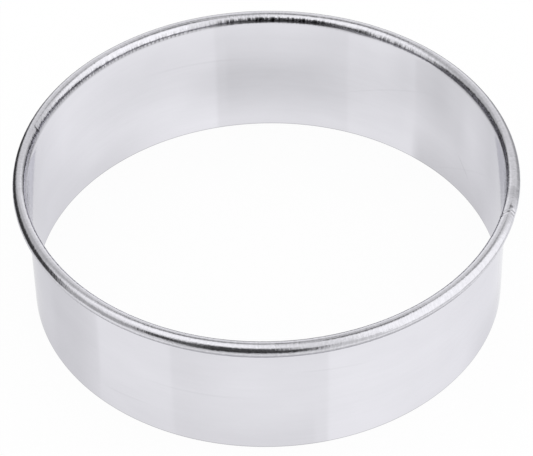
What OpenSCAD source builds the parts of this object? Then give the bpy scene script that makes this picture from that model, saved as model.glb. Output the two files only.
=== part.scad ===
// Round plain biscuit cutter: a hoop of thin steel strip whose top edge is
// rolled outwards over a wire. The cutting edge stands on the origin plane,
// the hoop's axis is +Z, and the strip's welded seam lies on +X.

/* [Hoop] */
// Inside diameter of the wall, which is the size of biscuit it cuts
bore_d = 100; // [50:1:200]
// Overall height, from the cutting edge to the top of the rolled rim
hoop_h = 31.4; // [20:0.1:60]
// Thickness of the steel strip
strip_t = 0.3; // [0.25:0.05:0.6]
// Bevel left on both sides of the cutting edge by deburring
edge_bevel = 0.08; // [0.02:0.02:0.1]

/* [Rolled rim] */
// Diameter of the wire that the rim is rolled over
wire_d = 2.2; // [1.4:0.1:3]
// Clearance left all round the wire
wire_clearance = 0.1; // [0.04:0.02:0.3]
// Amount by which the rolled rim is taller than it is wide
rim_stretch = 0.45; // [0.1:0.05:1]
// Slit left between the wall and the raw edge of the roll
tuck_gap = 0.06; // [0.04:0.02:0.2]

/* [Joints] */
// Width of the flush weld that closes the wall
weld_w = 0.8; // [0.5:0.1:1.5]
// Gap between the two ends of the strip in the rolled rim
rim_joint_gap = 0.16; // [0.1:0.02:0.4]
// Gap between the two ends of the wire
wire_joint_gap = 0.3; // [0.1:0.1:1]
// Angle from the strip's seam to the joint in the wire
wire_joint_angle = 180; // [90:1:270]

/* [Hidden] */
$fn = 180;

bore_r = bore_d / 2;
wall_r = bore_r + strip_t;

// Half the width of the rolled rim, and its inside radius round the wire
roll_inner_r = wire_d / 2 + wire_clearance;
roll_r = roll_inner_r + strip_t;

// The wire's centre, which is also the centre of the roll's top half
wire_r = bore_r + roll_r;
wire_z = hoop_h - roll_r;
// Height of the centre of the roll's bottom half
tuck_z = wire_z - rim_stretch;
// Height at which the underside of the roll meets the wall
wall_h = tuck_z - sqrt(pow(roll_r, 2) - pow(wire_r - wall_r, 2));
// More than the size of the roll, so that a cut this long clears it
cut_over = 2 * roll_r + rim_stretch;

// Upright oval of the roll for one radius
module roll_outline(r) {
    translate([wire_r, wire_z])
        circle(r);
    translate([wire_r - r, tuck_z])
        square([2 * r, rim_stretch]);
    translate([wire_r, tuck_z])
        circle(r);
}

// Section of the roll, open beside the wall where its raw edge tucks in
module roll_section() {
    difference() {
        roll_outline(roll_r);
        roll_outline(roll_inner_r);
        translate([bore_r - cut_over, tuck_z - cut_over])
            square([cut_over + strip_t + tuck_gap, cut_over]);
    }
}

// Section of the wall up to a height, with its deburred cutting edge
module wall_section(top) {
    polygon([
        [bore_r, edge_bevel],
        [bore_r + edge_bevel, 0],
        [wall_r - edge_bevel, 0],
        [wall_r, edge_bevel],
        [wall_r, top],
        [bore_r, top]
    ]);
}

// Upright slot through the +X side of the hoop
module seam_slot(width, bottom, top) {
    translate([bore_r - cut_over, -width / 2, bottom])
        cube([3 * cut_over, width, top - bottom]);
}

// Bent strip with its rolled rim, cut through at the seam
module hoop_strip() {
    color("silver")
        difference() {
            rotate_extrude() {
                wall_section(tuck_z);
                roll_section();
            }
            seam_slot(weld_w, -cut_over, wall_h);
            seam_slot(rim_joint_gap, 0, hoop_h + cut_over);
        }
}

// Wire that the rim is rolled over, with its two ends almost meeting
module rim_wire() {
    color("gray")
        difference() {
            rotate_extrude()
                translate([wire_r, wire_z])
                    circle(wire_d / 2);
            rotate(wire_joint_angle)
                seam_slot(wire_joint_gap, 0, hoop_h + cut_over);
        }
}

// Flush weld that joins the ends of the strip below the rolled rim
module seam_weld() {
    color("darkgray")
        intersection() {
            rotate_extrude()
                wall_section(wall_h);
            seam_slot(weld_w, -cut_over, wall_h);
        }
}

hoop_strip();
rim_wire();
seam_weld();
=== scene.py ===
"""Looks of a round plain biscuit cutter: bright steel strip, rolled wired rim, flush welded seam."""

import math
from collections import namedtuple

import bmesh
import bpy
from mathutils import Euler, Matrix, Vector, noise


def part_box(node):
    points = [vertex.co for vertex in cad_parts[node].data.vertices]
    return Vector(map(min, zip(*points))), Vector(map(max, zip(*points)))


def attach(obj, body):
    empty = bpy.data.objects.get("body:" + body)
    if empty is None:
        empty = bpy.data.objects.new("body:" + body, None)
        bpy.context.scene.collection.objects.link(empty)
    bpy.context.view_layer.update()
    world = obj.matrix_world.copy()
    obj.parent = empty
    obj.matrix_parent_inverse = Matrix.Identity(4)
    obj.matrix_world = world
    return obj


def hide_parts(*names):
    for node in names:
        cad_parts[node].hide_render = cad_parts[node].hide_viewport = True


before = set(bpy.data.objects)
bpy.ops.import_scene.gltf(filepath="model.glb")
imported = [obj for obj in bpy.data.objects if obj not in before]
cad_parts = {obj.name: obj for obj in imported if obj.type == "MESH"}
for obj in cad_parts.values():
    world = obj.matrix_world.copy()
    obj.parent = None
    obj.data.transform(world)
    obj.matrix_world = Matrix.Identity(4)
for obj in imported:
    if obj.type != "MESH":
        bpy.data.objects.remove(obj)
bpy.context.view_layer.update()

MM = 0.001

# Sizes of the hoop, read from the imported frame
strip_low, strip_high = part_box("hoop_strip")
wire_low, wire_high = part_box("rim_wire")
HOOP_H = strip_high.z
RIM_OUTER_R = strip_high.x
WIRE_Z = (wire_high.z + wire_low.z) / 2
ROLL_R = HOOP_H - WIRE_Z
BORE_R = RIM_OUTER_R - 2 * ROLL_R
WIRE_R = RIM_OUTER_R - ROLL_R

# The photograph's width and the camera fitted to it
PHOTO_W_PX = 533
FOCAL_PX = 2820.9
CAMERA_SHIFT_PX = -0.75
SENSOR_MM = 36.0
CLIP_END = 100
CAMERA_BACK = 8.5066 * WIRE_R
CAMERA_UP = 8.2413 * WIRE_R
CAMERA_PITCH = 0.7528
CAMERA_ROLL = -0.0190
# The seam lies this far round from the photograph's right-hand side
VIEW_TURN = math.radians(16.1)

# Strip's section: the wall thins towards its edge and leans out into the roll
STRIP_T = 0.3 * MM
EDGE_T = 0.16 * MM
EDGE_BEVEL = 0.05 * MM
RIM_STRETCH = 0.45 * MM
TUCK_GAP = 0.03 * MM
LEAN_LOW = 2.3 * MM
LEAN_TURN_DEG = 10
# Share of the height over which the wall tapers
TAPER_SHARE = 0.9
# How sharply the wall turns into the roll: its mean, how far it swings round the
# hoop, its least and most, and the angle from the seam where it is sharpest
LEAN_POWER = 6
LEAN_POWER_SWING = 4
LEAN_POWERS = (3.8, 8.0)
LEAN_SHARP_DEG = 46

# Where the roll is looser on its inner side: middle and half-width in degrees from
# the seam, and how loose; then what the loosest roll adds to the lean in degrees,
# how far its inner curve's centre lies lower and further out, and how much further
# in its hidden face lies, as a share of the strip's thickness
LOOSE_STRETCHES = [(165.0, 46.0, 0.95), (71.0, 14.0, 0.85), (45.0, 22.0, 0.50)]
LOOSE_EDGE_DEG = 18
LOOSE_TURN_DEG = 11
LOOSE_DROP = 1.3 * MM
LOOSE_OUT = 0.20 * MM
LOOSE_INSET = 0.2

# Steps of the swept mesh: round the hoop, up the inner wall, along the lean, along
# each shown quarter or half of the roll, along its two hidden arcs, down the outer wall
SEGMENTS = 1320
WALL_ROWS = 4
LEAN_STEPS = 9
ROLL_STEPS = 12
HIDDEN_STEPS = (6, 7)
OUTER_ROWS = 3
# Rounds that settle where the lean meets the roll
LEAN_ROUNDS = 4
# Edges that turn more than this stay sharp
SHARP_DEG = 35

# Half-widths of the seam: the weld's slot in the wall, and the slit across the roll
WELD_HALF = 0.4 * MM
SLIT_HALF = 0.03 * MM
WELD_TOP_Z = WIRE_Z - RIM_STRETCH - 0.7 * ROLL_R
# How far the slit runs askew over the roll's inner half, over what height it does
# so, and how far from it the strip is dragged with it
SLIT_SKEW = 1.7 * MM
SKEW_RISE = 1.8 * MM
SKEW_REACH = 4.0 * MM
# The strip's two ends at the slit: how deep each dips and over what length, the
# ripples beside it, and how much lower one end stands
END_DIP = 0.03 * MM
END_DIP_REACH = 0.22 * MM
RIPPLE = 0.038 * MM
RIPPLE_PITCH = 1.0 * MM
RIPPLE_REACH = 1.1 * MM
END_STEP = 0.025 * MM
END_STEP_REACH = 1.6 * MM

# Weld in the wall's slot: how far its crown stands proud, how much that varies and
# over what height, and the share of it that shows inside
WELD_CROWN = 0.012 * MM
WELD_RIPPLE = 0.008 * MM
WELD_RIPPLE_PITCH = 0.9 * MM
WELD_INSIDE = 0.4
WELD_COLUMNS = 6
WELD_ROWS = 120

# Faint unevenness of the roll, and the grain of the wrinkles below
PEEL_DEPTH = 0.012 * MM
PEEL_SIZE = 1.4 * MM
PEEL_SEED = 3.7
WRINKLE_SIZE = (0.6 * MM, 0.75 * MM)
WRINKLE_SEED = 9.1
# Share of the roll's radius past its crest to which the inner side's marks reach
INNER_SHARE = 0.3

# Stretches of the roll that the rolling tool has wrinkled: middle and half-width
# in degrees from the seam, depth in mm, how dark the painted shade in the folds is, how
# far the crease below them lies higher, in mm, and how much painted shade the wall takes below it
Wrinkled = namedtuple("Wrinkled", "middle half depth dark lift dull")
WRINKLES = [
    Wrinkled(24.0, 20.0, 0.010, 0.55, 0.15, 0.42),
    Wrinkled(44.0, 12.0, 0.020, 0.42, -0.12, 0.25),
    Wrinkled(74.0, 10.0, 0.030, 0.65, -0.10, 0.10),
    Wrinkled(103.0, 15.0, 0.020, 1.0, 0.30, 0.0),
    Wrinkled(148.0, 22.0, 0.010, 0.30, 0.10, 0.06),
    Wrinkled(180.0, 12.0, 0.030, 0.35, 0.25, 0.32),
    Wrinkled(198.0, 15.0, 0.012, 0.20, 0.30, 0.55),
]
# Small folds across the wrinkled stretches, pressed into the relief and painted darker as
# shade, each with its softness: the level of the noise at which one begins, and how far out
# from the bore and below the crease they reach, in mm
TICK_LEVEL = (0.0, 0.16)
TICK_OUT = (0.38, 0.6)
TICK_LOW = (-0.2, 0.4)

# Painted shade in the crease that the rolling tool leaves between wall and roll, in mm:
# its mean height, how far it wanders up and down and the angle where it lies lowest, its
# half-height, how far out it reaches, how soft it is, and how much wider it is among folds
CREASE_Z = 29.82
CREASE_WANDER = 0.42
CREASE_LOW_DEG = 180
CREASE_HALF = 0.15
CREASE_OUT = (0.5, 0.2)
CREASE_SOFT = 0.9
CREASE_WIDENS = 0.24
CREASE_RAGGED = 1.6
CREASE_SHADE = 0.85
# Where the crease's painted shade is weaker: middle, half-width and softness in degrees, and by how
# much
CREASE_WEAK = [
    (-22, 24, 24, 1.0),
    (160.0, 42.0, 20, 0.90),
    (72.0, 11.0, 20, 0.45),
    (46.0, 14.0, 20, 0.30),
]
# Band of painted shade about the crease: from, to and softness, in mm above it
SKIRT = (-0.55, 0.0, 1.1)

# Row of crimps along the roll's foot, painted as shade in the colour only: middle,
# half-width and softness in degrees, then in mm the pitch, height, half-height and how
# soft they are, how dark, how far out from the bore they reach, how unevenly they are
# spaced, and the level of the wave at which one begins
CRIMP_STRETCH = (150.0, 26.0, 16)
CRIMP_PITCH = 1.0
CRIMP_Z = 29.58
CRIMP_HALF = 0.30
CRIMP_SOFT = 0.42
CRIMP_SHADE = 0.42
CRIMP_OUT = (0.8, 0.2)
CRIMP_UNEVEN = 4
CRIMP_LEVEL = (0.3, 0.9)

# Height up to which the cutting edge is painted darker as shade, and how softly, in mm, and how much
EDGE_SHADE_Z = (0.22, 0.1)
EDGE_SHADE = 0.30

# Stretch of the roll's inner half whose colour is lighter: middle, half-width and
# softness in degrees, how far out from the bore it reaches, and how much lighter
LIGHTER_STRETCH = (131.0, 19.0, 12)
LIGHTER_OUT = (1.5, 0.4)
LIGHTER_TONE = 0.07

# Darker spots on the roll by the seam, in mm: place round the hoop from the seam, place
# out from the bore, half-width, and how dark; then the height above which they show
SEAM_SPOTS = [
    (-1.9, 0.45, 0.30, 0.45),
    (-0.5, 1.6, 0.30, 0.40),
    (1.1, 1.9, 0.35, 0.55),
    (5.4, 1.5, 1.6, 0.15),
]
SEAM_SPOTS_Z = (29.5, 0.4)

# Nick across the inner half of the roll, over the joint in the wire: pressed in, and painted darker
# as shade
NICK_DEG = 179.6
NICK_HALF = 0.22 * MM
NICK_DEPTH = 0.07 * MM
NICK_Z = (29.7, 31.2, 0.3)
NICK_OUT = (1.2, 0.3)
NICK_SHADE = 0.7

# Marks on the wall, all lengths in mm: broad patches of painted reflection, darker or
# lighter, and thin scratch lines. Each one: 1 inside or 0 outside, angle in degrees from
# the seam, height, half-length round the hoop, half-height, rise along its length, and
# how much darker (or lighter) it is.
Mark = namedtuple("Mark", "inside middle height long high rise dark")
WALL_SCRATCHES_AND_REFLECTIONS = [
    Mark(1, 105.0, 12.5, 17.0, 5.5, 0.0, 0.105),
    Mark(1, 96.0, 20.0, 12.0, 7.0, 0.0, 0.035),
    Mark(1, 134.0, 20.0, 22.0, 8.0, 0.0, 0.085),
    Mark(1, 184.0, 19.0, 12.0, 11.0, 0.0, 0.080),
    Mark(1, 62.0, 24.0, 8.0, 7.0, 0.0, 0.075),
    Mark(1, 26.0, 24.0, 10.0, 8.0, 0.0, 0.060),
    Mark(1, 15.5, 18.0, 6.0, 8.0, 0.0, 0.110),
    Mark(1, 29.0, 12.0, 8.0, 8.0, 0.0, 0.060),
    Mark(1, 74.0, 20.0, 8.0, 7.0, 0.0, 0.045),
    Mark(1, 108.0, 1.6, 24.0, 1.7, 0.0, -0.030),
    Mark(1, 57.0, 9.5, 8.0, 4.5, 0.0, -0.050),
    Mark(1, 38.0, 17.0, 7.0, 8.0, 0.0, -0.045),
    Mark(1, 73.6, 16.0, 9.0, 0.20, -0.42, 0.032),
    Mark(1, 44.1, 8.3, 10.0, 0.20, -0.62, 0.024),
    Mark(1, 45.7, 8.15, 1.9, 0.25, 0.90, 0.075),
    Mark(1, 124.0, 20.0, 9.0, 0.25, 0.05, 0.030),
    Mark(0, 268.0, 14.0, 9.0, 0.22, 0.03, 0.030),
    Mark(0, 300.0, 21.0, 6.0, 0.20, -0.08, 0.030),
    Mark(0, 250.0, 6.0, 5.0, 0.20, 0.10, 0.035),
]
MARK_SOFT = 1.6

# Where the material passes from wall to roll, in mm: height and softness inside,
# height and softness outside, and how far out from the bore outside begins
ROLL_FROM_INSIDE = ((WIRE_Z - 0.3 * ROLL_R) / MM, 0.8)
ROLL_FROM_OUTSIDE = ((WIRE_Z - RIM_STRETCH - 0.9 * ROLL_R) / MM, 0.5)
OUTSIDE_OUT = (0.45, 0.2)
# How far out from the bore the wall's inner face counts as inside
INSIDE_OUT = (0.08, 0.02)

# Grain of the steel in mm: size round the hoop, out and up it, octaves of detail, and
# how far the noise is shifted
GRAIN = ((9.0, 3.0, 0.16), 3.0, 0.0)
STREAKS = ((26.0, 3.0, 0.9), 2.0, 31.0)
CLOUDS = ((13.0, 3.0, 6.0), 2.0, 57.0)
TRACKS = ((0.34, 2.4, 2.4), 2.0, 11.0)
MOTTLE = ((0.6, 0.6, 0.6), 2.0, 83.0)
TEETH = ((0.55, 9.0, 9.0), 2.0, 127.0)

# What each does to the tone, to the roughness and, in mm, to the relief
CLOUDS_TONE = 0.075
STREAKS_TONE = 0.026
GRAIN_TONE = 0.022
TRACKS_TONE = 0.25
MOTTLE_TONE = 0.24
ROLL_TONE = -0.04
GRAIN_ROUGH = 0.05
MOTTLE_ROUGH = 0.10
ROLL_ROUGH = 0.07
GRAIN_RELIEF = 0.0009
TRACKS_RELIEF = 0.019
MOTTLE_RELIEF = 0.032
TICK_RELIEF = -0.030

# The three steels: colour, roughness and anisotropy
STRIP_STEEL = ((0.735, 0.730, 0.772), 0.09, 0.5)
WELD_STEEL = ((0.710, 0.704, 0.740), 0.15, 0.3)
WIRE_STEEL = ((0.55, 0.55, 0.56), 0.30, 0.3)
EDGE_TINT = (0.86, 0.86, 0.88, 1)
GRAIN_TURN = 0.25

# What stands round the cutter in the studio, as the metal sees it, in degrees.
# Azimuth is 0 towards the camera and grows to the photograph's right.
# Each panel: azimuth from, to and softness, elevation from, to and softness, brightness.
# Where two overlap, the later one hides the earlier one.
STUDIO_LEVEL = 0.95
STUDIO_PANELS = [
    ("back_wall", (100, 260, 24), (-2, 58, 12), 0.80),
    ("back_low", (130, 230, 24), (-24, -1, 8), 0.15),
    ("ceiling_glow", (-92, 0, 50), (36, 84, 30), 1.25),
    ("ceiling_dim", (70, 246, 50), (61, 78, 12), 0.22),
    ("corner_spot", (108, 146, 16), (44, 58, 12), 0.36),
    ("back_glow", (150, 210, 20), (2, 36, 12), 1.05),
    ("ceiling_patch", (128, 162, 16), (57, 75, 8), 0.75),
    ("ceiling_spot", (48, 96, 20), (70, 86, 6), 0.10),
    ("right_window", (36, 110, 18), (-30, 60, 16), 1.25),
    ("left_wall", (-146, -98, 24), (10, 62, 14), 0.56),
    ("left_dark", (-150, -82, 18), (-24, 21, 14), 0.04),
    ("left_strip", (-82, -48, 16), (-24, 16, 16), 0.46),
    ("front_dark_low", (-34, 22, 26), (-19, 14, 12), 0.03),
    ("front_dark_left", (-50, -28, 14), (-9, 24, 14), 0.05),
    ("front_dark_high", (-30, 8, 16), (6, 38, 20), 0.05),
    ("front_right_low", (20, 44, 12), (-36, 4, 12), 0.72),
    ("back_right", (124, 150, 12), (-26, 16, 16), 0.42),
    ("table_left", (-181, -85.1, 4), (-60, -24, 5), 0.84),
    ("table_front", (-45.2, 25.7, 1.5), (-60, -24, 5), 1.02),
    ("table_front_dim", (-90, -26, 30), (-60, -24, 5), 0.95),
    ("table_front_left", (-85.1, -45.2, 1.5), (-60, -24, 5), 1.01),
    ("table_front_far", (-50, 40, 30), (-36, -22, 4), 0.66),
    ("table_near", (-45.2, 25.7, 1.5), (-60, -41.6, 1), 0.96),
    ("table_near_dim", (-45.2, 20, 3), (-44.2, -41.7, 1.2), 0.89),
    ("table_near_left", (-85.1, -45.2, 1.5), (-44.1, -41.7, 1.2), 0.93),
    ("table_right", (25.7, 179, 1.5), (-60, -24, 5), 1.07),
    ("table_right_far", (26, 120, 20), (-35, -18, 4), 0.78),
    ("table_near_right", (112, 181, 20), (-60, -42.2, 1), 0.98),
    ("table_low_right", (70, 181, 50), (-60, -44, 1.4), 0.90),
    ("table_low_left", (-150, -88, 8), (-60, -44.2, 1.2), 0.76),
    ("table_right_under", (26, 120, 20), (-91, -47.5, 3), 0.74),
    ("table_far_left", (-148, -122, 10), (-42.8, -39, 2), 0.89),
    ("table_back", (156, 204, 36), (-60, -24, 5), 0.95),
    ("table_under", (-181, 181, 1), (-91, -52, 6), 0.64),
]
# Distance of the studio's walls from the cutter, and how finely they are divided
STUDIO_R = 0.386
STUDIO_DIVISIONS = 5

WHITE = (1, 1, 1, 1)
# Floor: half its side, how far it lies below the cutter, and how much of it shows shadow
FLOOR_HALF = 20
FLOOR_DROP = 0.05 * MM
FLOOR_SHADOW = 0.06


def add_camera():
    data = bpy.data.cameras.new("camera")
    data.sensor_width = SENSOR_MM
    data.lens = FOCAL_PX * SENSOR_MM / PHOTO_W_PX
    data.shift_x = CAMERA_SHIFT_PX / PHOTO_W_PX
    data.clip_end = CLIP_END
    camera = bpy.data.objects.new("camera", data)
    place = Vector((0, -CAMERA_BACK, CAMERA_UP))
    place.rotate(Euler((0, 0, VIEW_TURN)))
    turn = Matrix.Rotation(VIEW_TURN, 4, "Z")
    tilt = Matrix.Rotation(math.pi / 2 - CAMERA_PITCH, 4, "X")
    roll = Matrix.Rotation(CAMERA_ROLL, 4, "Z")
    camera.matrix_world = Matrix.Translation(place) @ turn @ tilt @ roll
    bpy.context.scene.collection.objects.link(camera)
    bpy.context.scene.camera = camera


def degrees_off(angle_deg, middle_deg):
    """How far an angle lies from another, whichever way round is shorter."""
    return abs((angle_deg - middle_deg + 180) % 360 - 180)


def arc(centre, half_width, half_height, start_deg, end_deg, steps):
    """Points of an elliptical arc in the section plane, from one angle to another."""
    points = []
    for step in range(steps + 1):
        angle = math.radians(start_deg + (end_deg - start_deg) * step / steps)
        x = centre[0] + half_width * math.cos(angle)
        z = centre[1] + half_height * math.sin(angle)
        points.append((x, z))
    return points


def outer_wall_r(z):
    """Radius of the wall's outer face at a height."""
    share = min(1.0, z / (TAPER_SHARE * HOOP_H))
    return BORE_R + EDGE_T + (STRIP_T - EDGE_T) * share


def lean_power(angle):
    """Sharpness of the turn into the roll at an angle from the seam."""
    power = LEAN_POWER + LEAN_POWER_SWING * math.cos(angle - math.radians(LEAN_SHARP_DEG))
    return min(LEAN_POWERS[1], max(LEAN_POWERS[0], power))


def looseness(angle):
    """How loose the roll's inner side is at an angle from the seam, 0 to 1."""
    loose = 0.0
    for middle, half, amount in LOOSE_STRETCHES:
        offset = degrees_off(math.degrees(angle), middle)
        share = min(1.0, max(0.0, (half - offset) / LOOSE_EDGE_DEG + 0.5))
        loose += amount * share * share * (3 - 2 * share)
    return loose


def inner_side(angle):
    """Inner wall with its lean, and the roll's inner quarter, which it meets without a kink.

    The quarter is an ellipse about its crest. Where the lean touches it depends on
    its half-width and the other way round, so the two are settled in a few rounds.
    """
    power = lean_power(angle)
    loose = looseness(angle)
    slope = math.tan(math.radians(LEAN_TURN_DEG + LOOSE_TURN_DEG * loose))
    crest = (WIRE_R + LOOSE_OUT * loose, WIRE_Z - LOOSE_DROP * loose)
    inner_height = HOOP_H - crest[1]
    lean_low_z = WIRE_Z - LEAN_LOW
    rise_z = LEAN_LOW
    for _ in range(LEAN_ROUNDS):
        rise_r = slope * rise_z / power
        reach = crest[0] - BORE_R - rise_r
        root = math.sqrt(reach**2 + 4 * (slope * inner_height) ** 2)
        half_width = math.sqrt(reach * (reach + root) / 2)
        turn = math.atan2(slope * inner_height, half_width)
        rise_z = crest[1] + inner_height * math.sin(turn) - lean_low_z

    wall = [(BORE_R + EDGE_BEVEL, 0.0)]
    for row in range(WALL_ROWS):
        wall.append((BORE_R, EDGE_BEVEL + (lean_low_z - EDGE_BEVEL) * row / WALL_ROWS))
    for step in range(LEAN_STEPS):
        share = step / LEAN_STEPS
        wall.append((BORE_R + rise_r * share**power, lean_low_z + rise_z * share))
    start = 180 - math.degrees(turn)
    quarter = arc(crest, half_width, inner_height, start, 90, ROLL_STEPS)
    return wall, quarter, crest


def strip_section(angle):
    """Closed outline of the strip as (r, z, worked), clockwise from the cutting edge.

    worked is 1 on the rolled surface that shows and 0 elsewhere.
    """
    wall_r = BORE_R + STRIP_T
    hidden_r = ROLL_R - STRIP_T * (1 + LOOSE_INSET * looseness(angle))
    tuck_z = WIRE_Z - RIM_STRETCH
    # The outer half is one tall curve, from the top round to the underside
    outer_z = (WIRE_Z + tuck_z) / 2
    outer_height = ROLL_R + RIM_STRETCH / 2
    # Angles at which the raw edge stops short of the wall, on its two faces
    raw_x = WIRE_R - wall_r - TUCK_GAP
    outer_stop = math.degrees(math.acos(raw_x / ROLL_R)) - 180
    hidden_stop = math.degrees(math.acos(min(1.0, raw_x / hidden_r))) - 180

    wall, shown, crest = inner_side(angle)
    outer_crest = (crest[0], outer_z)
    outer_reach = RIM_OUTER_R - crest[0]
    shown += arc(outer_crest, outer_reach, outer_height, 90, 0, ROLL_STEPS)[1:]
    shown += arc((WIRE_R, outer_z), ROLL_R, outer_height, 0, outer_stop, ROLL_STEPS)[1:]

    low_steps, top_steps = HIDDEN_STEPS
    hidden = arc((WIRE_R, tuck_z), hidden_r, hidden_r, hidden_stop, 0, low_steps)
    hidden += arc((WIRE_R, WIRE_Z), hidden_r, hidden_r, 0, 180, top_steps)
    hidden.append((wall_r, tuck_z))
    for row in range(OUTER_ROWS):
        share = row / (OUTER_ROWS - 1)
        z = WELD_TOP_Z - (WELD_TOP_Z - EDGE_BEVEL) * share
        hidden.append((outer_wall_r(z), z))
    hidden.append((outer_wall_r(0) - EDGE_BEVEL, 0.0))

    outline = [(r, z, 0.0) for r, z in wall]
    last = len(shown) - 1
    for index, (r, z) in enumerate(shown):
        from_end = min(index, last - index)
        outline.append((r, z, min(1.0, from_end / 2)))
    outline += [(r, z, 0.0) for r, z in hidden]
    return outline


def wrinkle_depth(angle_deg):
    """How deep the tool marks are at an angle from the seam."""
    depth = 0.0
    for wrinkled in WRINKLES:
        share = degrees_off(angle_deg, wrinkled.middle) / wrinkled.half
        depth += wrinkled.depth * MM * max(0.0, 1 - share**2)
    return depth


def roll_inner_share(r):
    """1 on the inner side of the roll, falling to 0 a little past its crest."""
    return min(1.0, max(0.0, (WIRE_R + INNER_SHARE * ROLL_R - r) / ROLL_R))


def seam_distance(angle):
    """Distance round the hoop to the nearer of the strip's two ends."""
    return min(angle, math.tau - angle) * WIRE_R


def slit_skew(angle, r, z):
    """How far a point near the slit is dragged round the hoop, as an angle."""
    rise = min(1.0, max(0.0, (z - WELD_TOP_Z) / SKEW_RISE))
    near = math.exp(-((seam_distance(angle) / SKEW_REACH) ** 2))
    return -SLIT_SKEW / WIRE_R * rise * near * roll_inner_share(r)


def roll_offset(angle, r, z):
    """How far the rolled surface stands out (or in) of its true outline."""
    around = angle * WIRE_R
    across = ROLL_R * math.atan2(z - WIRE_Z, WIRE_R - r)
    peel = noise.noise(Vector((around / PEEL_SIZE, across / PEEL_SIZE, PEEL_SEED)))
    offset = PEEL_DEPTH * (peel - 1)

    inner_share = roll_inner_share(r)
    depth = wrinkle_depth(math.degrees(angle)) * inner_share
    if depth > 0:
        long, wide = WRINKLE_SIZE
        wrinkle = noise.noise(Vector((around / long, across / wide, WRINKLE_SEED)))
        offset -= depth * (0.5 + wrinkle)

    nick = (angle - math.radians(NICK_DEG)) * WIRE_R / NICK_HALF
    offset -= NICK_DEPTH * inner_share * math.exp(-nick * nick)

    end = seam_distance(angle)
    offset -= END_DIP * math.exp(-end / END_DIP_REACH)
    ripple = math.cos(math.tau * end / RIPPLE_PITCH) - 1
    offset += RIPPLE * ripple * math.exp(-((end / RIPPLE_REACH) ** 2))
    if angle < math.pi:
        offset -= END_STEP * math.exp(-((end / END_STEP_REACH) ** 2))
    return offset


def outline_normals(section):
    """Outward unit normals of the closed outline's points."""
    count = len(section)
    normals = []
    for index in range(count):
        before = section[index - 1]
        after = section[(index + 1) % count]
        step_r = after[0] - before[0]
        step_z = after[1] - before[1]
        length = math.hypot(step_r, step_z)
        normals.append((-step_z / length, step_r / length))
    return normals


def add_piece(name, node, shape):
    """Turns a finished mesh into a smooth piece that stands for a solid of the frame."""
    mesh = bpy.data.meshes.new(name + "_mesh")
    bmesh.ops.recalc_face_normals(shape, faces=shape.faces)
    shape.to_mesh(mesh)
    shape.free()
    mesh.set_sharp_from_angle(angle=math.radians(SHARP_DEG))
    for polygon in mesh.polygons:
        polygon.use_smooth = True
    piece = bpy.data.objects.new(name, mesh)
    bpy.context.scene.collection.objects.link(piece)
    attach(piece, "root")
    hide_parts(node)
    return piece


def add_vertex(shape, angle, r, z):
    return shape.verts.new((r * math.cos(angle), r * math.sin(angle), z))


def build_band():
    """Strip swept round the hoop from one side of its seam to the other."""
    shape = bmesh.new()
    rings = []
    for segment in range(SEGMENTS + 1):
        share = segment / SEGMENTS
        section = strip_section(math.tau * share)
        ring = []
        for (r, z, worked), (out_r, out_z) in zip(section, outline_normals(section)):
            half_gap = (WELD_HALF if z <= WELD_TOP_Z else SLIT_HALF) / WIRE_R
            angle = half_gap + (math.tau - 2 * half_gap) * share
            if worked:
                offset = worked * roll_offset(angle, r, z)
                r += out_r * offset
                z += out_z * offset
            ring.append(add_vertex(shape, angle + slit_skew(angle, r, z), r, z))
        rings.append(ring)
    for here, there in zip(rings, rings[1:]):
        for i in range(len(here)):
            shape.faces.new((here[i - 1], here[i], there[i], there[i - 1]))
    ends = [shape.faces.new(rings[0]), shape.faces.new(list(reversed(rings[-1])))]
    # The end caps are split by their normals, so these are set first
    bmesh.ops.recalc_face_normals(shape, faces=shape.faces)
    bmesh.ops.triangulate(shape, faces=ends)
    return add_piece("rolled_strip", "hoop_strip", shape)


def build_weld():
    """Weld that fills the wall's slot, a hair proud of it and slightly rippled."""
    shape = bmesh.new()
    # Each row of the closed tube runs across the inner face and back over the outer one
    rows = []
    for row in range(WELD_ROWS + 1):
        z = WELD_TOP_Z * row / WELD_ROWS
        inner = []
        outer = []
        for column in range(WELD_COLUMNS + 1):
            across = 2 * column / WELD_COLUMNS - 1
            angle = WELD_HALF / WIRE_R * across
            ripple = noise.noise(Vector((0, across, z / WELD_RIPPLE_PITCH)))
            crown = (1 - across * across) * (WELD_CROWN + WELD_RIPPLE * ripple)
            inner.append(add_vertex(shape, angle, BORE_R - WELD_INSIDE * crown, z))
            outer.append(add_vertex(shape, angle, outer_wall_r(z) + crown, z))
        rows.append(inner + outer[::-1])
    for low, high in zip(rows, rows[1:]):
        for i in range(len(low)):
            shape.faces.new((low[i - 1], low[i], high[i], high[i - 1]))
    for row in (rows[0], rows[-1]):
        for i in range(WELD_COLUMNS):
            shape.faces.new((row[i], row[i + 1], row[-2 - i], row[-1 - i]))
    return add_piece("weld_line", "seam_weld", shape)


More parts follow.
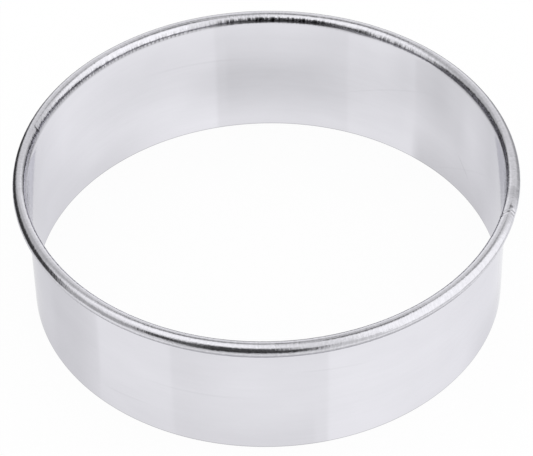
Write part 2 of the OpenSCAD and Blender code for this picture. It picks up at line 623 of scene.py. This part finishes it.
class Maths:
    """Adds sums to a material's node tree; each value is a number or a node's output."""

    def __init__(self, tree):
        self.tree = tree

    def join(self, value, socket):
        if isinstance(value, (int, float)):
            socket.default_value = value
        else:
            self.tree.links.new(value, socket)

    def node(self, operation, *values):
        node = self.tree.nodes.new("ShaderNodeMath")
        node.operation = operation
        for value, socket in zip(values, node.inputs):
            self.join(value, socket)
        return node.outputs[0]

    def chain(self, operation, values):
        total = values[0]
        for value in values[1:]:
            total = self.node(operation, total, value)
        return total

    def add(self, *values):
        return self.chain("ADD", values)

    def times(self, *values):
        return self.chain("MULTIPLY", values)

    def most(self, *values):
        return self.chain("MAXIMUM", values)

    def minus(self, first, second):
        return self.node("SUBTRACT", first, second)

    def mix(self, factor, first, second):
        node = self.tree.nodes.new("ShaderNodeMix")
        for name, value in (("Factor", factor), ("A", first), ("B", second)):
            self.join(value, node.inputs[name])
        return node.outputs["Result"]

    def ramp(self, value, zero_at, one_at):
        """Rises smoothly from 0 to 1 between two values."""
        node = self.tree.nodes.new("ShaderNodeMapRange")
        node.interpolation_type = "SMOOTHSTEP"
        node.inputs["From Min"].default_value = zero_at
        node.inputs["From Max"].default_value = one_at
        self.join(value, node.inputs["Value"])
        return node.outputs["Result"]

    def above(self, value, low, soft):
        return self.ramp(value, low - soft / 2, low + soft / 2)

    def below(self, value, high, soft):
        return self.ramp(value, high + soft / 2, high - soft / 2)

    def span(self, value, low, high, soft):
        """1 between low and high, falling smoothly to 0 over soft."""
        offset = self.minus(value, (low + high) / 2)
        return self.below(self.node("ABSOLUTE", offset), (high - low) / 2, soft)

    def turned(self, degrees, low, high, soft):
        """The same for an angle, which wraps at half a turn."""
        offset = self.minus(degrees, (low + high) / 2)
        offset = self.node("WRAP", offset, 180, -180)
        return self.below(self.node("ABSOLUTE", offset), (high - low) / 2, soft)

    def noise(self, coords, sizes, detail, shift):
        """Noise about 0, stretched: coords are in mm, sizes are the grain along each."""
        vector = self.tree.nodes.new("ShaderNodeCombineXYZ")
        scaled = [self.node("DIVIDE", value, size) for value, size in zip(coords, sizes)]
        scaled[0] = self.add(scaled[0], shift)
        for value, socket in zip(scaled, vector.inputs):
            self.join(value, socket)
        node = self.tree.nodes.new("ShaderNodeTexNoise")
        node.inputs["Scale"].default_value = 1
        node.inputs["Detail"].default_value = detail
        self.tree.links.new(vector.outputs["Vector"], node.inputs["Vector"])
        return self.minus(node.outputs["Fac"], 0.5)


# A point of the hoop as the material sees it: its angle from the seam in radians and
# in degrees, then in mm how far round the hoop, up it and out from the bore it lies
Place = namedtuple("Place", "angle degrees around height out")


def hoop_place(maths):
    """Place of the point being shaded."""
    coords = maths.tree.nodes.new("ShaderNodeTexCoord")
    split = maths.tree.nodes.new("ShaderNodeSeparateXYZ")
    maths.tree.links.new(coords.outputs["Object"], split.inputs["Vector"])
    x, y, z = (split.outputs[axis] for axis in "XYZ")
    angle = maths.node("ARCTAN2", y, x)
    radius = maths.node("SQRT", maths.add(maths.times(x, x), maths.times(y, y)))
    return Place(
        angle=angle,
        degrees=maths.node("DEGREES", angle),
        around=maths.times(angle, WIRE_R / MM),
        height=maths.node("DIVIDE", z, MM),
        out=maths.node("DIVIDE", maths.minus(radius, BORE_R), MM),
    )


def around_from(maths, place, degrees):
    """Distance round the hoop from an angle, in mm, whichever way is shorter."""
    half_turn = math.pi * WIRE_R / MM
    offset = maths.minus(place.around, math.radians(degrees) * WIRE_R / MM)
    return maths.node("WRAP", offset, half_turn, -half_turn)


def stretch(maths, place, middle, half, soft):
    """1 on a stretch of the hoop given in degrees from the seam."""
    return maths.turned(place.degrees, middle - half, middle + half, soft)


def crease_and_fold_shade(maths, place, teeth):
    """How dark the painted shade is in and below the crease and in the folds, and the folds alone.
    """
    folds = 0.0
    lift = 0.0
    shade_below_crease = 0.0
    for wrinkled in WRINKLES:
        long = math.radians(wrinkled.half) * WIRE_R / MM
        offset = around_from(maths, place, wrinkled.middle)
        patch = maths.span(offset, -long, long, long)
        folds = maths.most(folds, maths.times(patch, wrinkled.dark))
        lift = maths.add(lift, maths.times(patch, wrinkled.lift))
        shade_below_crease = maths.add(shade_below_crease, maths.times(patch, wrinkled.dull))

    low = math.radians(CREASE_LOW_DEG)
    wander = maths.node("COSINE", maths.minus(place.angle, low))
    crease_z = maths.minus(maths.add(lift, CREASE_Z), maths.times(wander, CREASE_WANDER))
    above_crease = maths.minus(place.height, crease_z)

    # Folds painted darker as shade; the same mask presses them into the relief
    tick = maths.times(
        maths.above(teeth, *TICK_LEVEL),
        folds,
        maths.below(place.out, *TICK_OUT),
        maths.above(above_crease, *TICK_LOW),
    )
    near_wall = maths.below(place.out, *CREASE_OUT)
    # Painted shade on the wall just below the crease
    skirt = maths.times(maths.span(above_crease, *SKIRT), near_wall, shade_below_crease)

    # The crease is more ragged where the roll is wrinkled
    ragged = maths.add(maths.times(teeth, CREASE_RAGGED), 1)
    crease_half = maths.add(maths.times(ragged, folds, CREASE_WIDENS), CREASE_HALF)
    from_crease = maths.node("DIVIDE", above_crease, crease_half)
    weak = 0.0
    for middle, half, soft, amount in CREASE_WEAK:
        weak = maths.add(weak, maths.times(stretch(maths, place, middle, half, soft), amount))
    # Painted shade along the crease
    crease = maths.times(
        maths.span(from_crease, -1, 1, CREASE_SOFT),
        near_wall,
        maths.most(maths.minus(CREASE_SHADE, weak), 0),
    )
    return maths.most(crease, skirt, tick), tick


def nick_shade(maths, place):
    """How dark the painted shade in the nick across the roll is."""
    half = NICK_HALF / MM
    return maths.times(
        maths.span(around_from(maths, place, NICK_DEG), -half, half, half),
        maths.span(place.height, *NICK_Z),
        maths.below(place.out, *NICK_OUT),
        NICK_SHADE,
    )


def seam_spots(maths, place):
    """How dark the spots by the seam are."""
    spots = 0.0
    high_up = maths.above(place.height, *SEAM_SPOTS_Z)
    for around, out, half, dark in SEAM_SPOTS:
        spot = maths.times(
            maths.span(place.around, around - half, around + half, half),
            maths.span(place.out, out - half, out + half, half),
            high_up,
            dark,
        )
        spots = maths.most(spots, spot)
    return spots


def crimp_shade(maths, place, teeth):
    """How dark the painted shade of the crimps along the roll's foot is."""
    phase = maths.times(place.around, math.tau / CRIMP_PITCH)
    phase = maths.add(phase, maths.times(teeth, CRIMP_UNEVEN))
    low = CRIMP_Z - CRIMP_HALF
    high = CRIMP_Z + CRIMP_HALF
    return maths.times(
        maths.above(maths.node("COSINE", phase), *CRIMP_LEVEL),
        maths.span(place.height, low, high, CRIMP_SOFT),
        maths.below(place.out, *CRIMP_OUT),
        stretch(maths, place, *CRIMP_STRETCH),
        CRIMP_SHADE,
    )


def scratches_and_painted_reflections(maths, place):
    """How much darker the painted reflections and scratch lines make the wall."""
    inside = maths.below(place.out, *INSIDE_OUT)
    outside = maths.minus(1, inside)
    total = 0.0
    for mark in WALL_SCRATCHES_AND_REFLECTIONS:
        offset = around_from(maths, place, mark.middle)
        middle_z = maths.add(maths.times(offset, mark.rise), mark.height)
        shape = maths.times(
            maths.span(offset, -mark.long, mark.long, mark.long),
            maths.span(
                maths.minus(place.height, middle_z), -mark.high, mark.high, MARK_SOFT * mark.high
            ),
            inside if mark.inside else outside,
            mark.dark,
        )
        total = maths.add(total, shape)
    return total


def brushed_steel(name, steel, worked=1.0):
    """Bright rolled steel: grain round the hoop; where worked, marks and painted shade on the roll.
    """
    color, roughness, anisotropy = steel
    material = bpy.data.materials.new(name)
    material.use_nodes = True
    tree = material.node_tree
    maths = Maths(tree)
    shader = tree.nodes["Principled BSDF"]
    shader.inputs["Metallic"].default_value = 1
    shader.inputs["Anisotropic"].default_value = anisotropy
    shader.inputs["Anisotropic Rotation"].default_value = GRAIN_TURN
    shader.inputs["Specular Tint"].default_value = EDGE_TINT
    tangent = tree.nodes.new("ShaderNodeTangent")
    tangent.direction_type = "RADIAL"
    tangent.axis = "Z"
    tree.links.new(tangent.outputs["Tangent"], shader.inputs["Tangent"])

    place = hoop_place(maths)
    coords = (place.around, place.out, place.height)
    grain = maths.noise(coords, *GRAIN)
    streaks = maths.noise(coords, *STREAKS)
    clouds = maths.noise(coords, *CLOUDS)
    tracks = maths.noise(coords, *TRACKS)
    mottle = maths.noise(coords, *MOTTLE)
    teeth = maths.noise(coords, *TEETH)

    roll_outside = maths.times(
        maths.above(place.height, *ROLL_FROM_OUTSIDE), maths.above(place.out, *OUTSIDE_OUT)
    )
    on_roll = maths.most(maths.above(place.height, *ROLL_FROM_INSIDE), roll_outside)
    on_roll = maths.times(on_roll, worked)
    on_wall = maths.minus(1, on_roll)

    # Colour: faint clouds, streaks, scratches and painted reflections on the wall, duller tracks
    # on the roll, and painted shade in the crease, folds, nick, crimps and along the cutting edge
    shade_by_crease_and_folds, tick = crease_and_fold_shade(maths, place, teeth)
    painted_shade_and_spots = maths.most(
        shade_by_crease_and_folds,
        nick_shade(maths, place),
        seam_spots(maths, place),
        crimp_shade(maths, place, teeth),
    )
    # Painted shade along the cutting edge
    edge = maths.times(maths.below(place.height, *EDGE_SHADE_Z), EDGE_SHADE)
    painted_shade_and_spots = maths.most(maths.times(painted_shade_and_spots, worked), edge)
    wall_tone = maths.add(
        maths.times(clouds, CLOUDS_TONE),
        maths.times(streaks, STREAKS_TONE),
        maths.times(grain, GRAIN_TONE),
    )
    wall_tone = maths.minus(wall_tone, scratches_and_painted_reflections(maths, place))
    lighter_share = maths.times(
        stretch(maths, place, *LIGHTER_STRETCH), maths.below(place.out, *LIGHTER_OUT)
    )
    roll_tone = maths.add(
        maths.times(tracks, TRACKS_TONE),
        maths.times(mottle, MOTTLE_TONE),
        maths.times(lighter_share, LIGHTER_TONE),
        ROLL_TONE,
    )
    tone = maths.add(maths.times(wall_tone, on_wall), maths.times(roll_tone, on_roll), 1)
    tone = maths.times(tone, maths.minus(1, painted_shade_and_spots))
    tint = tree.nodes.new("ShaderNodeVectorMath")
    tint.operation = "SCALE"
    tint.inputs[0].default_value = color
    tree.links.new(tone, tint.inputs["Scale"])
    tree.links.new(tint.outputs["Vector"], shader.inputs["Base Color"])

    # Roughness: streaky on the wall, patchy on the burnished roll
    rough = maths.add(
        maths.times(grain, on_wall, GRAIN_ROUGH),
        maths.times(mottle, on_roll, MOTTLE_ROUGH),
        maths.times(on_roll, ROLL_ROUGH),
        roughness,
    )
    tree.links.new(rough, shader.inputs["Roughness"])

    # Relief in mm: fine grain lines on the wall, cross tracks and mottling on the roll
    roll_relief = maths.add(
        maths.times(tracks, TRACKS_RELIEF),
        maths.times(mottle, MOTTLE_RELIEF),
        maths.times(tick, TICK_RELIEF),
    )
    relief = maths.add(
        maths.times(grain, GRAIN_RELIEF, on_wall), maths.times(roll_relief, on_roll)
    )
    bump = tree.nodes.new("ShaderNodeBump")
    bump.inputs["Distance"].default_value = MM
    tree.links.new(relief, bump.inputs["Height"])
    tree.links.new(bump.outputs["Normal"], shader.inputs["Normal"])
    return material


def add_stage(name, shape):
    """Adds an object that isn't part of the cutter, with a bare material of its own."""
    mesh = bpy.data.meshes.new(name + "_mesh")
    shape.to_mesh(mesh)
    shape.free()
    stage = bpy.data.objects.new(name, mesh)
    bpy.context.scene.collection.objects.link(stage)
    material = bpy.data.materials.new(name + "_material")
    material.use_nodes = True
    material.node_tree.nodes.clear()
    mesh.materials.append(material)
    return stage, material


def add_light(nodes):
    """Adds an even white glow."""
    light = nodes.new("ShaderNodeEmission")
    light.inputs["Color"].default_value = WHITE
    return light


def add_studio():
    """Dome of studio panels that only mirror-like reflections see."""
    shape = bmesh.new()
    bmesh.ops.create_icosphere(shape, subdivisions=STUDIO_DIVISIONS, radius=STUDIO_R)
    dome, material = add_stage("studio", shape)
    dome.rotation_euler.z = VIEW_TURN
    dome.visible_camera = False
    dome.visible_diffuse = False
    dome.visible_transmission = False
    dome.visible_shadow = False
    material.cycles.emission_sampling = "NONE"

    tree = material.node_tree
    maths = Maths(tree)
    coords = tree.nodes.new("ShaderNodeTexCoord")
    split = tree.nodes.new("ShaderNodeSeparateXYZ")
    tree.links.new(coords.outputs["Object"], split.inputs["Vector"])
    x, y, z = (split.outputs[axis] for axis in "XYZ")
    azimuth = maths.node("DEGREES", maths.node("ARCTAN2", x, maths.times(y, -1)))
    height = maths.node("DIVIDE", z, STUDIO_R)
    elevation = maths.node("DEGREES", maths.node("ARCSINE", height))
    level = STUDIO_LEVEL
    for _, across, up, brightness in STUDIO_PANELS:
        inside = maths.times(maths.turned(azimuth, *across), maths.span(elevation, *up))
        level = maths.mix(inside, level, brightness)
    light = add_light(tree.nodes)
    tree.links.new(level, light.inputs["Strength"])
    output = tree.nodes.new("ShaderNodeOutputMaterial")
    tree.links.new(light.outputs["Emission"], output.inputs["Surface"])


def add_world():
    """Plain white all round at a strength of 1."""
    world = bpy.data.worlds.new("white")
    bpy.context.scene.world = world
    world.use_nodes = True
    world.cycles.sampling_method = "NONE"
    background = world.node_tree.nodes["Background"]
    background.inputs["Color"].default_value = WHITE
    background.inputs["Strength"].default_value = 1


def add_floor():
    """Pale floor that keeps the cutter's shadow; the metal sees the studio through it."""
    shape = bmesh.new()
    bmesh.ops.create_grid(shape, x_segments=1, y_segments=1, size=FLOOR_HALF)
    floor, material = add_stage("floor", shape)
    floor.location.z = -FLOOR_DROP

    nodes = material.node_tree.nodes
    links = material.node_tree.links
    glow = add_light(nodes)
    matt = nodes.new("ShaderNodeBsdfDiffuse")
    matt.inputs["Color"].default_value = WHITE
    kept = nodes.new("ShaderNodeMixShader")
    kept.inputs["Fac"].default_value = FLOOR_SHADOW
    links.new(glow.outputs["Emission"], kept.inputs[1])
    links.new(matt.outputs["BSDF"], kept.inputs[2])
    clear = nodes.new("ShaderNodeBsdfTransparent")
    paths = nodes.new("ShaderNodeLightPath")
    through = nodes.new("ShaderNodeMixShader")
    links.new(paths.outputs["Is Glossy Ray"], through.inputs["Fac"])
    links.new(kept.outputs["Shader"], through.inputs[1])
    links.new(clear.outputs["BSDF"], through.inputs[2])
    output = nodes.new("ShaderNodeOutputMaterial")
    links.new(through.outputs["Shader"], output.inputs["Surface"])


add_camera()

band = build_band()
band.data.materials.append(brushed_steel("bright_steel", STRIP_STEEL))

weld = build_weld()
weld.data.materials.append(brushed_steel("weld_steel", WELD_STEEL, worked=0.0))

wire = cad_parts["rim_wire"]
wire.data.materials.clear()
wire.data.materials.append(brushed_steel("wire_steel", WIRE_STEEL))

add_world()
add_studio()
add_floor()

bpy.context.scene.view_settings.view_transform = "Standard"
